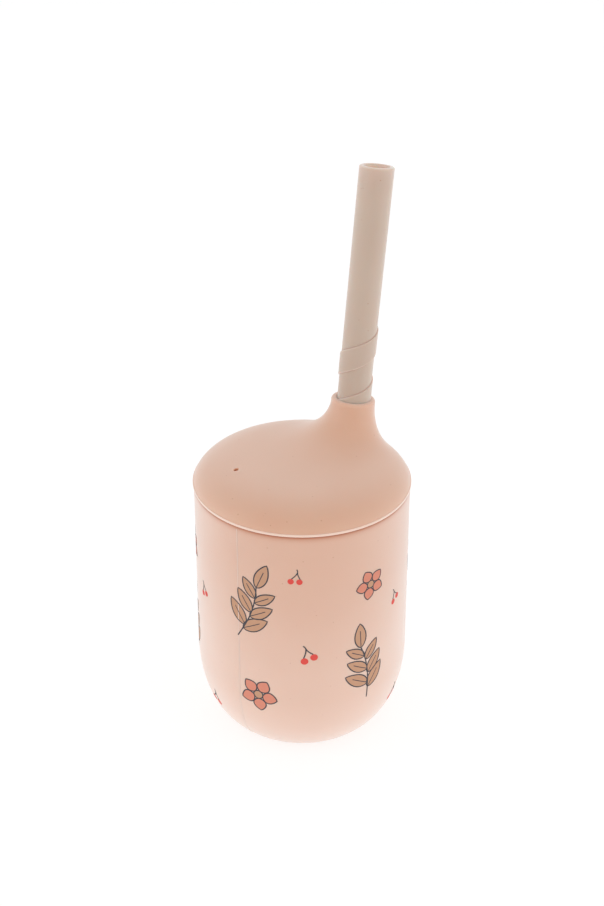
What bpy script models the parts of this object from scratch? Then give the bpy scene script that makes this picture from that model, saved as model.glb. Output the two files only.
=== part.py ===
"""Sippy cup: a round-bottomed silicone cup, a domed lid with a leaning neck, and a spiral-banded straw.

Metres, +Z up. The origin is the centre of the standing base. The lid's neck and the straw lean towards +X,
and the lid is symmetric about the XZ plane apart from its vent.
"""

import math

import bmesh
import bpy
from mathutils import Matrix, Vector

MM = 0.001

# Clearances
SEAT_GAP = 0.3 * MM  # lid's flange over the cup's rim
PLUG_GAP = 0.3 * MM  # lid's sealing bead inside the cup's mouth
STRAW_GAP = 0.3 * MM  # neck's bore round the straw's spiral band
STRAW_FLOOR_GAP = 6.0 * MM  # straw's lower end over the cup's floor, room to drink and to push it down

# Cup
CUP_HEIGHT = 88.5 * MM
CUP_RIM_RADIUS = 34.8 * MM
CUP_SWELL = 1.25 * MM  # belly beyond the rim, where the straight wall meets the rounded bottom
CUP_ROUNDING_HEIGHT = 25.1 * MM
CUP_BASE_RADIUS = 25.3 * MM  # flat standing face
CUP_WALL = 2.4 * MM
CUP_FLOOR = 3.2 * MM
CUP_RIM_ROUND = 0.4 * MM

# Straw
STRAW_RADIUS = 5.3 * MM
STRAW_WALL = 2.0 * MM
STRAW_ABOVE_NECK = 73.8 * MM  # from the neck's mouth to the drinking end
STRAW_END_ROUND = 0.5 * MM
STRAW_LEAN = math.radians(6.0)
BAND_RAISE = 0.4 * MM
BAND_WIDTH = 7.85 * MM  # along the straw
BAND_PITCH = 16.75 * MM
BAND_TURNS = 4.0
BAND_TOP = 26.75 * MM  # band's upper edge above the neck's mouth, where the band begins
BAND_START = math.radians(15.0)  # that place round the straw, from +X
BAND_FADE = math.radians(25.0)  # turn over which the band rises from the straw at each end
BAND_ROOT = 0.7 * MM  # how deep the band is rooted in the straw's wall

# Lid
LID_OVERHANG = 0.2 * MM  # lid's edge beyond the cup's rim
LID_EDGE = 0.7 * MM  # thickness of the edge that shows
LID_EDGE_ROUND = 0.4 * MM
LID_CROWN = 6.55 * MM  # dome's rise over the edge, without the neck
SHOULDER_POWER = 7.1  # exponent: larger is a flatter dome with a tighter shoulder
SHOULDER_ROUND = 0.76  # exponent: smaller is a shoulder that meets the edge more steeply
LID_WALL = 2.0 * MM
NECK_RISE = 19.5 * MM  # neck's mouth over the lid's edge
NECK_WALL = 1.2 * MM
NECK_TO_EDGE = 4.05 * MM  # from the neck's wall to the lid's edge, at the mouth
NECK_GRIP = 6.0 * MM  # length of bore that holds the straw
NECK_LIP_ROUND = 0.35 * MM
FLARE_SPREAD = 0.2  # exponent: smaller is a neck that spreads later and further
SKIRT_DEPTH = 9.0 * MM
SKIRT_WALL = 1.8 * MM
BEAD_RAISE = 0.5 * MM  # sealing bead round the skirt
BEAD_HEIGHT = 2.4 * MM
VENT_RADIUS = 0.65 * MM
VENT_FROM_EDGE = 13.1 * MM
VENT_ANGLE = math.radians(155.3)

# Facets
CUP_STEPS = 48
LID_STEPS = 48
LID_FLARE_RINGS = 12
STRAW_STEPS = 32
BAND_STEPS_PER_TURN = 32
VENT_STEPS = 12
BOTTOM_STEPS = 10
FILLET_STEPS = 2
FILLET_LIMIT = 0.4  # most of its wall that a fillet may take
SMOOTH_UNDER = math.radians(40.0)

# Sizes that follow from these
CUP_BELLY_RADIUS = CUP_RIM_RADIUS + CUP_SWELL
LID_RADIUS = CUP_RIM_RADIUS + LID_OVERHANG
FLANGE_Z = CUP_HEIGHT + SEAT_GAP
EDGE_Z = FLANGE_Z + LID_EDGE
BAND_RADIUS = STRAW_RADIUS + BAND_RAISE
BORE_RADIUS = BAND_RADIUS + STRAW_GAP
NECK_RADIUS = BORE_RADIUS + NECK_WALL
NECK_X = LID_RADIUS - NECK_TO_EDGE - NECK_RADIUS
MOUTH_Z = EDGE_Z + NECK_RISE
BEAD_RADIUS = CUP_RIM_RADIUS - CUP_WALL - PLUG_GAP
SKIRT_RADIUS = BEAD_RADIUS - BEAD_RAISE
SKIRT_INNER_RADIUS = SKIRT_RADIUS - SKIRT_WALL
SKIRT_BOTTOM = FLANGE_Z - SKIRT_DEPTH

MOUTH = Vector((NECK_X, 0.0, MOUTH_Z))
LEAN = Matrix.Rotation(STRAW_LEAN, 3, "Y")
STRAW_AXIS = LEAN @ Vector((0.0, 0.0, 1.0))
STRAW_END_Z = CUP_FLOOR + STRAW_FLOOR_GAP + STRAW_RADIUS * math.sin(STRAW_LEAN)
STRAW_BELOW_NECK = (MOUTH_Z - STRAW_END_Z) / STRAW_AXIS.z


def clear_scene():
    for obj in list(bpy.data.objects):
        bpy.data.objects.remove(obj, do_unlink=True)


def collection(name):
    group = bpy.data.collections.new(name)
    bpy.context.scene.collection.children.link(group)
    return group


def silicone(name, colour, roughness):
    material = bpy.data.materials.new(name)
    material.use_nodes = True
    shader = material.node_tree.nodes["Principled BSDF"]
    shader.inputs["Base Color"].default_value = (*colour, 1.0)
    shader.inputs["Roughness"].default_value = roughness
    shader.inputs["Metallic"].default_value = 0.0
    return material


def add_object(name, mesh, group, material=None):
    if material:
        mesh.materials.append(material)
    mesh.shade_smooth()
    mesh.set_sharp_from_angle(angle=SMOOTH_UNDER)
    obj = bpy.data.objects.new(name, mesh)
    group.objects.link(obj)
    return obj


def cutter_object(name, mesh, group):
    obj = bpy.data.objects.new(name, mesh)
    group.objects.link(obj)
    obj.hide_render = True
    obj.display_type = "WIRE"
    return obj


def profile_mesh(name, points, closed=False):
    """A polyline of (radius, height) points in the XZ plane, to be turned about Z."""
    mesh = bpy.data.meshes.new(name)
    edges = [(i, i + 1) for i in range(len(points) - 1)]
    if closed:
        edges.append((len(points) - 1, 0))
    mesh.from_pydata([(radius, 0.0, height) for radius, height in points], edges, [])
    return mesh


def turn(obj, steps):
    screw = obj.modifiers.new("turn", "SCREW")
    screw.steps = steps
    screw.render_steps = steps
    screw.use_merge_vertices = True
    screw.merge_threshold = 0.00001
    screw.use_smooth_shade = True
    return screw


def boolean(obj, other, operation):
    modifier = obj.modifiers.new(operation.lower(), "BOOLEAN")
    modifier.operation = operation
    modifier.object = other
    modifier.solver = "EXACT"
    return modifier


def arc(centre, radii, start, end, steps):
    """Points of an elliptical arc in the profile plane, angles in degrees from the outward direction."""
    points = []
    for i in range(steps + 1):
        angle = math.radians(start + (end - start) * i / steps)
        points.append((centre[0] + radii[0] * math.cos(angle), centre[1] + radii[1] * math.sin(angle)))
    return points


def fillet(radius, wall):
    """A fillet's radius, limited by the wall it rounds."""
    return min(radius, FILLET_LIMIT * wall)


def make_cup(group):
    """The cup: a turned shell with a near-straight wall, an elliptical bottom and a flat base."""
    inner_rim = CUP_RIM_RADIUS - CUP_WALL
    inner_belly = CUP_BELLY_RADIUS - CUP_WALL
    rim = fillet(CUP_RIM_ROUND, CUP_WALL)
    rim_z = CUP_HEIGHT - rim
    belly = (CUP_BASE_RADIUS, CUP_ROUNDING_HEIGHT)
    outer_radii = (CUP_BELLY_RADIUS - CUP_BASE_RADIUS, CUP_ROUNDING_HEIGHT)
    inner_radii = (inner_belly - CUP_BASE_RADIUS, CUP_ROUNDING_HEIGHT - CUP_FLOOR)
    profile = [(0.0, CUP_FLOOR)]
    profile += arc(belly, inner_radii, -90.0, 0.0, BOTTOM_STEPS)
    profile += arc((inner_rim + rim, rim_z), (rim, rim), 180.0, 90.0, FILLET_STEPS)
    profile += arc((CUP_RIM_RADIUS - rim, rim_z), (rim, rim), 90.0, 0.0, FILLET_STEPS)
    profile += arc(belly, outer_radii, 0.0, -90.0, BOTTOM_STEPS)
    profile += [(0.0, 0.0)]
    mesh = profile_mesh("cup_body", profile)
    cup = add_object("cup_body", mesh, group, silicone("cup_silicone", (0.72, 0.46, 0.35), 0.55))
    turn(cup, CUP_STEPS)
    return cup


def round_ring(radius, height):
    """A level ring about the cup's axis."""
    ring = []
    for i in range(LID_STEPS):
        angle = 2 * math.pi * i / LID_STEPS
        ring.append(Vector((radius * math.cos(angle), radius * math.sin(angle), height)))
    return ring


def neck_ring(radius, along):
    """A ring about the leaning straw's axis, at a distance along it from the neck's mouth."""
    ring = []
    for i in range(LID_STEPS):
        angle = 2 * math.pi * i / LID_STEPS
        local = Vector((radius * math.cos(angle), radius * math.sin(angle), along))
        ring.append(MOUTH + LEAN @ local)
    return ring


def dome_z(radius, dome_radius):
    """Height of the lid's dome at a distance from the cup's axis: nearly level, with a rounded shoulder."""
    share = min(radius / dome_radius, 1.0)
    return EDGE_Z + LID_CROWN * (1.0 - share**SHOULDER_POWER) ** SHOULDER_ROUND


def flare_rings(neck_radius, neck_along, edge_radius, dome_radius, drop):
    """Rings that spread from the leaning neck to a round edge, and sink onto the dome or a drop below it."""
    neck = neck_ring(neck_radius, neck_along)
    centre = MOUTH + STRAW_AXIS * neck_along
    rings = [neck]
    for k in range(1, LID_FLARE_RINGS):
        spread = (1.0 - math.cos(math.pi * k / LID_FLARE_RINGS)) / 2
        sink = math.sqrt(1.0 - (1.0 - spread) ** (1.0 / FLARE_SPREAD))
        radius = neck_radius + (edge_radius - neck_radius) * spread
        ring = []
        for i in range(LID_STEPS):
            angle = 2 * math.pi * i / LID_STEPS
            x = centre.x * (1.0 - spread) + radius * math.cos(angle)
            y = radius * math.sin(angle)
            dome = dome_z(math.hypot(x, y), dome_radius) - drop
            z = (1.0 - sink) * neck[i].z + sink * dome
            lean_shift = math.tan(STRAW_LEAN) * (centre.z - z) * (1.0 - sink)
            ring.append(Vector((x - lean_shift, y, z)))
        rings.append(ring)
    return rings


def skin_rings(name, rings):
    """One closed surface through rings that follow each other round the lid's section."""
    mesh_data = bmesh.new()
    rows = [[mesh_data.verts.new(point) for point in ring] for ring in rings]
    for row, following in zip(rows, rows[1:] + rows[:1]):
        for i in range(LID_STEPS):
            j = (i + 1) % LID_STEPS
            mesh_data.faces.new((row[i], following[i], following[j], row[j]))
    bmesh.ops.recalc_face_normals(mesh_data, faces=mesh_data.faces)
    mesh = bpy.data.meshes.new(name)
    mesh_data.to_mesh(mesh)
    mesh_data.free()
    return mesh


def vent_mesh():
    """An upright rod through the dome, in the vent's place."""
    place_radius = LID_RADIUS - VENT_FROM_EDGE
    place = Vector((place_radius * math.cos(VENT_ANGLE), place_radius * math.sin(VENT_ANGLE), 0.0))
    place.z = (SKIRT_BOTTOM + MOUTH_Z) / 2
    rod = bmesh.new()
    bmesh.ops.create_cone(
        rod,
        cap_ends=True,
        segments=VENT_STEPS,
        radius1=VENT_RADIUS,
        radius2=VENT_RADIUS,
        depth=MOUTH_Z - SKIRT_BOTTOM,
        matrix=Matrix.Translation(place),
    )
    mesh = bpy.data.meshes.new("vent_cutter")
    rod.to_mesh(mesh)
    rod.free()
    return mesh


def make_lid(group, cutters):
    """The lid: a dome that sweeps up into the neck, a thin edge, and a plug skirt with a sealing bead."""
    edge_round = fillet(LID_EDGE_ROUND, LID_EDGE)
    lip_round = fillet(NECK_LIP_ROUND, NECK_WALL)
    dome_radius = LID_RADIUS - edge_round
    hollow_z = dome_z(SKIRT_INNER_RADIUS, dome_radius) - LID_WALL
    bead_z = (FLANGE_Z + SKIRT_BOTTOM) / 2
    outside = flare_rings(NECK_RADIUS, -lip_round, dome_radius, dome_radius, 0.0)
    section = arc((dome_radius, EDGE_Z - edge_round), (edge_round, edge_round), 90.0, 0.0, FILLET_STEPS)
    section += [
        (LID_RADIUS, FLANGE_Z),
        (SKIRT_RADIUS, FLANGE_Z),
        (SKIRT_RADIUS, bead_z + BEAD_HEIGHT / 2),
        (BEAD_RADIUS, bead_z),
        (SKIRT_RADIUS, bead_z - BEAD_HEIGHT / 2),
        (SKIRT_RADIUS, SKIRT_BOTTOM),
        (SKIRT_INNER_RADIUS, SKIRT_BOTTOM),
        (SKIRT_INNER_RADIUS, hollow_z),
    ]
    edge_and_skirt = [round_ring(radius, height) for radius, height in section]
    inside = flare_rings(BORE_RADIUS, -NECK_GRIP, SKIRT_INNER_RADIUS, dome_radius, LID_WALL)
    lip = [
        neck_ring(BORE_RADIUS, -lip_round),
        neck_ring(BORE_RADIUS + lip_round, 0.0),
        neck_ring(NECK_RADIUS - lip_round, 0.0),
    ]
    mesh = skin_rings("lid", outside + edge_and_skirt + inside[::-1] + lip)
    lid = add_object("lid", mesh, group, silicone("lid_silicone", (0.67, 0.43, 0.32), 0.5))
    boolean(lid, cutter_object("vent_cutter", vent_mesh(), cutters), "DIFFERENCE")
    return lid


def band_mesh():
    """The spiral band: a strip wound round the straw, which rises out of its wall at both ends."""
    steps = round(BAND_TURNS * BAND_STEPS_PER_TURN)
    root = STRAW_RADIUS - BAND_ROOT
    strip = bmesh.new()
    rows = []
    for i in range(steps + 1):
        turned = 2 * math.pi * BAND_TURNS * i / steps
        angle = BAND_START - turned
        to_end = min(turned, 2 * math.pi * BAND_TURNS - turned)
        rise = min(to_end / BAND_FADE, 1.0)
        outer = root + BAND_ROOT / 2 + (BAND_ROOT / 2 + BAND_RAISE) * rise
        top = BAND_TOP - BAND_PITCH * turned / (2 * math.pi)
        section = [(root, top), (outer, top), (outer, top - BAND_WIDTH), (root, top - BAND_WIDTH)]
        rows.append([strip.verts.new((r * math.cos(angle), r * math.sin(angle), z)) for r, z in section])
    for row, following in zip(rows, rows[1:]):
        for k in range(4):
            strip.faces.new((row[k], row[(k + 1) % 4], following[(k + 1) % 4], following[k]))
    strip.faces.new(rows[0])
    strip.faces.new(rows[-1][::-1])
    bmesh.ops.recalc_face_normals(strip, faces=strip.faces)
    mesh = bpy.data.meshes.new("straw_band")
    strip.to_mesh(mesh)
    strip.free()
    return mesh


def make_straw(group, cutters):
    """The straw: a turned tube on the neck's leaning axis, with its spiral band joined on."""
    bore = STRAW_RADIUS - STRAW_WALL
    end = fillet(STRAW_END_ROUND, STRAW_WALL)
    shoulder = STRAW_ABOVE_NECK - end
    profile = [(bore, -STRAW_BELOW_NECK)]
    profile += arc((bore + end, shoulder), (end, end), 180.0, 90.0, FILLET_STEPS)
    profile += arc((STRAW_RADIUS - end, shoulder), (end, end), 90.0, 0.0, FILLET_STEPS)
    profile += [(STRAW_RADIUS, -STRAW_BELOW_NECK)]
    mesh = profile_mesh("straw", profile, closed=True)
    straw = add_object("straw", mesh, group, silicone("straw_silicone", (0.56, 0.44, 0.36), 0.55))
    turn(straw, STRAW_STEPS)
    band = cutter_object("straw_band", band_mesh(), cutters)
    boolean(straw, band, "UNION")
    for obj in (straw, band):
        obj.location = MOUTH
        obj.rotation_euler = (0.0, STRAW_LEAN, 0.0)
    return straw


clear_scene()
parts = collection("sippy_cup")
tools = collection("cutters")
make_cup(parts)
make_lid(parts, tools)
make_straw(parts, tools)
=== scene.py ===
import math

import bmesh
import bpy
from mathutils import Matrix, Vector
from mathutils.bvhtree import BVHTree


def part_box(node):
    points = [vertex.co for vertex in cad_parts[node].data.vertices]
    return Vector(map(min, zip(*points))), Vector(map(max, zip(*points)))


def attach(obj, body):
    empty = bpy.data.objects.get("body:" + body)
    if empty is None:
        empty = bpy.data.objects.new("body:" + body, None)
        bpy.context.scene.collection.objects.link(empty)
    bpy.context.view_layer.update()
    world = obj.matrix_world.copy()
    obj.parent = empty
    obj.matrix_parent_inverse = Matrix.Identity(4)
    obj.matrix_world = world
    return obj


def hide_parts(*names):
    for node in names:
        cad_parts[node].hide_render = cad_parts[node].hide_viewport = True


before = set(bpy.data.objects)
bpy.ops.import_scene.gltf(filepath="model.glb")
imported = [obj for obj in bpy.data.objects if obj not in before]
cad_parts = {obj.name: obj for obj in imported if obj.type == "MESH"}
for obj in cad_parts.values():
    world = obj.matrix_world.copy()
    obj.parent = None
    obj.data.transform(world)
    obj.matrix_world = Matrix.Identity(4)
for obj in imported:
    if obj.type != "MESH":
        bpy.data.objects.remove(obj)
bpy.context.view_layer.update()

# Cup
# The cup is one thick-walled silicone casting with a rounded bottom and a flat to stand on.
# Its wall is matte and slightly see-through at the edges, as food-grade silicone is.
MM = 0.001
CUP_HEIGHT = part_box("cup_body")[1].z
CUP_BELLY_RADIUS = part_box("cup_body")[1].x
CUP_SWELL = 1.25 * MM
CUP_RIM_RADIUS = CUP_BELLY_RADIUS - CUP_SWELL
CUP_ROUNDING_HEIGHT = 25.1 * MM
CUP_BASE_RADIUS = 25.3 * MM
CUP_WALL = 2.4 * MM
CUP_FLOOR = 3.2 * MM
CUP_RIM_ROUND = 0.4 * MM
CUP_EDGE_ROUND = 0.8 * MM
CUP_RIM_BAND = 3.4 * MM
# Painted shade, with a warm tint, darkens the rim's outer edge under the lid's edge.
RIM_PAINTED_SHADE = 0.95
RIM_PAINTED_WARM_SHADE = 0.2
# Painted light makes the lower wall and the foot paler towards the floor.
WALL_PAINTED_LIGHT = 0.16
WALL_PAINTED_LIGHT_FROM = 68.0 * MM
WALL_PAINTED_LIGHT_TO = 36.0 * MM
FOOT_PAINTED_LIGHT = 0.08
FOOT_PAINTED_LIGHT_FROM = 14.0 * MM
FOOT_PAINTED_LIGHT_TO = 5.0 * MM
CUP_STEPS = 192
CUP_BOTTOM_STEPS = 48
CUP_WALL_STEPS = 24
CUP_BAND_STEPS = 12
FILLET_STEPS = 6
WELD = 0.001 * MM
SHARP_OVER = math.radians(35.0)
CUP_PINK = "#D8AB92"
CUP_PINK_DEEP = "#D3A389"
# Colours of painted shade, painted warm glow and painted light on the silicone; the shade colour is also the
# lint's.
PAINTED_LIGHT_SHADE_AND_LINT = {"deep": "#A5532E", "painted_warm_glow_and_shade": "#F09A5E", "painted_light": "#FBE9DE"}
SILICONE_IOR = 1.41


def arc(centre, radii, start, end, steps):
    """Points of an elliptical arc in a turned piece's section, angles in degrees from straight out."""
    points = []
    for i in range(steps + 1):
        angle = math.radians(start + (end - start) * i / steps)
        points.append((centre[0] + radii[0] * math.cos(angle), centre[1] + radii[1] * math.sin(angle)))
    return points


def straight(start, end, steps):
    """Points along a straight stretch of a section, without its first point."""
    shares = [i / steps for i in range(1, steps + 1)]
    return [(start[0] + (end[0] - start[0]) * t, start[1] + (end[1] - start[1]) * t) for t in shares]


def turned_ring(radius, height, steps, first_angle=0.0):
    """A level ring of a turned piece."""
    angles = [first_angle + 2 * math.pi * i / steps for i in range(steps)]
    return [Vector((radius * math.cos(a), radius * math.sin(a), height)) for a in angles]


def skin(name, rings, closed):
    """A mesh through rings of equal count; closed joins the last ring to the first."""
    work = bmesh.new()
    rows = [[work.verts.new(point) for point in ring] for ring in rings]
    count = len(rings[0])
    following_rows = rows[1:] + (rows[:1] if closed else [])
    for row, following in zip(rows, following_rows):
        for i in range(count):
            j = (i + 1) % count
            work.faces.new((row[i], following[i], following[j], row[j]))
    bmesh.ops.remove_doubles(work, verts=work.verts, dist=WELD)
    bmesh.ops.recalc_face_normals(work, faces=work.faces)
    mesh = bpy.data.meshes.new(name)
    work.to_mesh(mesh)
    work.free()
    return mesh


def add_piece(name, mesh, material=None):
    """An object at the origin, shaded smooth over its soft edges."""
    if material:
        mesh.materials.clear()
        mesh.materials.append(material)
    mesh.shade_smooth()
    mesh.set_sharp_from_angle(angle=SHARP_OVER)
    piece = bpy.data.objects.new(name, mesh)
    bpy.context.scene.collection.objects.link(piece)
    return piece


def linear(hex_colour):
    """An sRGB hex colour as linear light."""
    channels = [int(hex_colour[i : i + 2], 16) / 255 for i in (1, 3, 5)]
    return tuple(c / 12.92 if c <= 0.04045 else ((c + 0.055) / 1.055) ** 2.4 for c in channels) + (1.0,)


def add_node(tree, kind, settings=None, links=None):
    """One node with its settings, and its inputs linked from other nodes' outputs."""
    node = tree.nodes.new(kind)
    for key, value in (settings or {}).items():
        if isinstance(key, int) or key in node.inputs:
            node.inputs[key].default_value = value
        else:
            setattr(node, key, value)
    for key, source in (links or {}).items():
        tree.links.new(source, node.inputs[key])
    return node


def ramp(value, start, end):
    """How far a value has gone from start to end, 0 to 1."""
    return min(max((value - start) / (end - start), 0.0), 1.0)


def paint_light_and_shade(mesh, painted_kind, share_at):
    """Marks how much painted shade, painted warm glow or painted light the silicone takes at each point of a
    mesh.
    """
    attribute = mesh.attributes.new(painted_kind, "FLOAT", "POINT")
    attribute.data.foreach_set("value", [share_at(vertex.co) for vertex in mesh.vertices])


def cast_silicone(name, colour, deep_colour, roughness, sheen, glow):
    """Cast silicone: a silky matte skin with cloudy pigment and a fine mould grain, which holds some lint.
    Marked places take painted light on thin edges and crests, painted shade, partly warm, in creases and
    under edges, and a painted warm glow in hollows."""
    cloud_size = 16 * MM
    grain_size = 0.35 * MM
    grain_height = 0.05 * MM
    silk_spread = 0.05
    lint_gap = 3.2 * MM
    lint_size = 0.16 * MM
    lint_edge = 1.4 * lint_size
    lint_share = 0.4
    glow_reach = 8.0 * MM
    material = bpy.data.materials.new(name)
    material.use_nodes = True
    tree = material.node_tree
    shader = tree.nodes["Principled BSDF"]
    place = {"Vector": add_node(tree, "ShaderNodeTexCoord").outputs["Object"]}
    cloud = add_node(tree, "ShaderNodeTexNoise", {"Scale": 1 / cloud_size, "Detail": 3.0}, place)
    grain = add_node(tree, "ShaderNodeTexNoise", {"Scale": 1 / grain_size, "Detail": 2.0}, place)
    lint = add_node(tree, "ShaderNodeTexVoronoi", {"Scale": 1 / lint_gap}, place)
    speck = add_node(
        tree,
        "ShaderNodeMapRange",
        {
            "From Min": lint_size / lint_gap,
            "From Max": lint_edge / lint_gap,
            "To Min": lint_share,
            "To Max": 0.0,
        },
        {"Value": lint.outputs["Distance"]},
    )
    pigment = add_node(
        tree,
        "ShaderNodeMix",
        {"data_type": "RGBA", 6: linear(colour), 7: linear(deep_colour)},
        {0: cloud.outputs["Fac"]},
    )
    shares = [(speck.outputs["Result"], PAINTED_LIGHT_SHADE_AND_LINT["deep"])]
    for painted_kind, painted_or_lint_colour in PAINTED_LIGHT_SHADE_AND_LINT.items():
        mark = add_node(tree, "ShaderNodeAttribute", {"attribute_name": painted_kind})
        shares.append((mark.outputs["Fac"], painted_or_lint_colour))
    for share, painted_or_lint_colour in shares:
        pigment = add_node(
            tree,
            "ShaderNodeMix",
            {"data_type": "RGBA", 7: linear(painted_or_lint_colour)},
            {0: share, 6: pigment.outputs[2]},
        )
    silk = add_node(
        tree,
        "ShaderNodeMapRange",
        {"To Min": roughness - silk_spread, "To Max": roughness + silk_spread},
        {"Value": grain.outputs["Fac"]},
    )
    bump = add_node(
        tree,
        "ShaderNodeBump",
        {"Strength": 0.06, "Distance": grain_height},
        {"Height": grain.outputs["Fac"]},
    )
    tree.links.new(pigment.outputs[2], shader.inputs["Base Color"])
    tree.links.new(silk.outputs["Result"], shader.inputs["Roughness"])
    tree.links.new(bump.outputs["Normal"], shader.inputs["Normal"])
    shader.inputs["IOR"].default_value = SILICONE_IOR
    shader.inputs["Subsurface Weight"].default_value = glow
    shader.inputs["Subsurface Radius"].default_value = (1.0, 0.5, 0.35)
    shader.inputs["Subsurface Scale"].default_value = glow_reach * glow
    shader.inputs["Sheen Weight"].default_value = sheen
    shader.inputs["Sheen Roughness"].default_value = 0.6
    shader.inputs["Sheen Tint"].default_value = (1.0, 1.0, 1.0, 1.0)
    return material


rim_in = CUP_RIM_RADIUS - CUP_WALL
belly_in = CUP_BELLY_RADIUS - CUP_WALL
rim_z = CUP_HEIGHT - CUP_RIM_ROUND
rim_fillet = (CUP_RIM_ROUND, CUP_RIM_ROUND)
belly_centre = (CUP_BASE_RADIUS, CUP_ROUNDING_HEIGHT)
hollow_radii = (belly_in - CUP_BASE_RADIUS, CUP_ROUNDING_HEIGHT - CUP_FLOOR)
bottom_radii = (CUP_BELLY_RADIUS - CUP_BASE_RADIUS, CUP_ROUNDING_HEIGHT)
cup_inside = [(0.0, CUP_FLOOR)]
cup_inside += arc(belly_centre, hollow_radii, -90.0, 0.0, CUP_BOTTOM_STEPS)
cup_inside += straight(cup_inside[-1], (rim_in, rim_z), CUP_WALL_STEPS)
cup_inside += arc((rim_in + CUP_RIM_ROUND, rim_z), rim_fillet, 180.0, 90.0, FILLET_STEPS)[1:]
edge_centre = (CUP_RIM_RADIUS - CUP_EDGE_ROUND, CUP_HEIGHT - CUP_EDGE_ROUND)
cup_outside = arc(edge_centre, (CUP_EDGE_ROUND, CUP_EDGE_ROUND), 90.0, 0.0, FILLET_STEPS)
cup_outside += straight(cup_outside[-1], (CUP_RIM_RADIUS, CUP_HEIGHT - 2 * CUP_RIM_BAND), CUP_BAND_STEPS)
cup_outside += straight(cup_outside[-1], (CUP_BELLY_RADIUS, CUP_ROUNDING_HEIGHT), CUP_WALL_STEPS)
cup_outside += arc(belly_centre, bottom_radii, 0.0, -90.0, CUP_BOTTOM_STEPS)[1:]
cup_outside += [(0.0, 0.0)]
cup_rings = [turned_ring(radius, height, CUP_STEPS) for radius, height in cup_inside + cup_outside]
cup_silicone = cast_silicone(
    "cast_silicone_peach", CUP_PINK, CUP_PINK_DEEP, roughness=0.5, sheen=0.85, glow=0.25
)
cup = add_piece("cup", skin("cup", cup_rings, closed=False), cup_silicone)


def under_lid_shade_band(at):
    """How far up the outer edge of the rim a point lies, where painted shade stands for the shadow under the
    lid's edge.
    """
    from_axis = math.hypot(at.x, at.y)
    outside = ramp(from_axis, CUP_RIM_RADIUS - CUP_EDGE_ROUND, CUP_RIM_RADIUS - CUP_EDGE_ROUND / 2)
    return outside * ramp(at.z, CUP_HEIGHT - CUP_RIM_BAND, CUP_HEIGHT)


def cup_painted_light(at):
    """Painted light on the lower wall: paler towards the floor, most of all near it."""
    wall = ramp(at.z, WALL_PAINTED_LIGHT_FROM, WALL_PAINTED_LIGHT_TO)
    foot = ramp(at.z, FOOT_PAINTED_LIGHT_FROM, FOOT_PAINTED_LIGHT_TO)
    return WALL_PAINTED_LIGHT * wall + FOOT_PAINTED_LIGHT * foot


# Painted shade under the lid's edge, with a warm tint.
paint_light_and_shade(cup.data, "deep", lambda at: RIM_PAINTED_SHADE * under_lid_shade_band(at) ** 3)
paint_light_and_shade(cup.data, "painted_warm_glow_and_shade", lambda at: RIM_PAINTED_WARM_SHADE * under_lid_shade_band(at) ** 2)
# Painted light, paler towards the floor.
paint_light_and_shade(cup.data, "painted_light", cup_painted_light)
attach(cup, "cup")
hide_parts("cup_body")

# Parting ridges
# Where the halves of the cup's mould meet, the casting keeps a hair-thin ridge of the same silicone.
# The ridges run from the rim to the standing flat, one on each side of the cup.
RIDGE_WIDTH = 0.25 * MM
RIDGE_STANDS = 0.04 * MM
RIDGE_ANGLES = (11.0, 191.0)
RIDGE_PIECE = 1.0 * MM
# The ridges carry a painted highlight.
RIDGE_PAINTED_HIGHLIGHT = 0.3
PRINT_SINK = 0.02 * MM


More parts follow.
